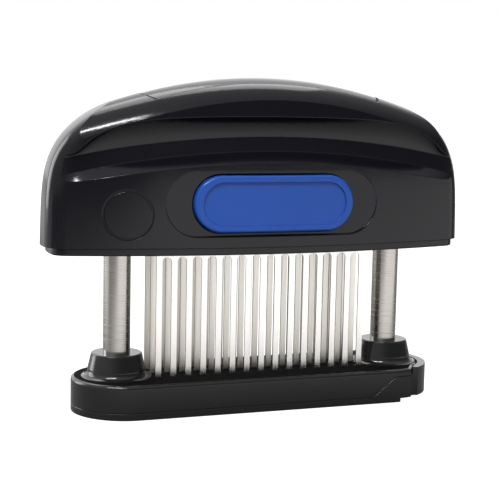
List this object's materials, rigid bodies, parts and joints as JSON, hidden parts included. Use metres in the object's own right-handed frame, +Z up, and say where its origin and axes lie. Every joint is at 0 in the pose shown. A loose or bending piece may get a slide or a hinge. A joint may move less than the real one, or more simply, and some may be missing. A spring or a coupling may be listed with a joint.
{
  "type": "blade meat tenderizer",
  "caption": "Hand-held blade meat tenderizer: an arched handle presses rows of comb blades down two sprung steel columns, through a slotted base plate.",
  "frame": {"origin": "centre of the underside, on the surface that the base stands on, midway along the handle", "axes": "+X along the handle's length towards the slide plate's pull lug, +Z up along the columns, -Y the front face with the plain ring"},
  "size_m": [0.1566, 0.0406, 0.1167],
  "materials": {
    "steel": "turned stainless steel",
    "blade_steel": "bright stamped stainless steel",
    "spring_steel": "spring wire",
    "base_black": "glossy moulded black plastic",
    "cover_black": "semi-gloss moulded black plastic",
    "inner_nylon": "natural nylon",
    "washer_rubber": "black rubber",
    "button_blue": "glossy blue plastic"
  },
  "bodies": {
    "base": {"base_plate": "base_black", "left_column": "steel", "right_column": "steel", "left_column_plug": "steel", "right_column_plug": "steel", "left_column_cap": "inner_nylon", "right_column_cap": "inner_nylon", "left_bumper_washer": "washer_rubber", "right_bumper_washer": "washer_rubber", "left_spring": "spring_steel", "right_spring": "spring_steel"},
    "slide_plate": {"slide_plate": "base_black"},
    "handle": {"carriage": "cover_black", "handle_cover": "cover_black", "top_panel": "cover_black", "left_bush": "inner_nylon", "right_bush": "inner_nylon", "left_spring_guide": "inner_nylon", "right_spring_guide": "inner_nylon", "front_blade_strip": "blade_steel", "middle_blade_strip": "blade_steel", "rear_blade_strip": "blade_steel", "front_blade_spacer": "inner_nylon", "rear_blade_spacer": "inner_nylon", "blade_clamp": "inner_nylon", "clamp_screws": "steel"},
    "front_button": {"front_button": "button_blue"},
    "rear_button": {"rear_button": "button_blue"}
  },
  "joints": [
    {"name": "plunge", "type": "slide", "parent": "base", "child": "handle", "axis": [0, 0, -1], "range_m": [0, 0.033], "stiffness_N_per_m": 500, "springref_m": -0.025, "deforming": ["left_spring", "right_spring"]},
    {"name": "slide_plate_pull", "type": "slide", "parent": "base", "child": "slide_plate", "axis": [1, 0, 0], "range_m": [0, 0.006]},
    {"name": "front_button_press", "type": "slide", "parent": "handle", "child": "front_button", "axis": [0, 1, 0], "range_m": [0, 0.002], "stiffness_N_per_m": 700, "springref_m": -0.001},
    {"name": "rear_button_press", "type": "slide", "parent": "handle", "child": "rear_button", "axis": [0, -1, 0], "range_m": [0, 0.002], "stiffness_N_per_m": 700, "springref_m": -0.001}
  ]
}
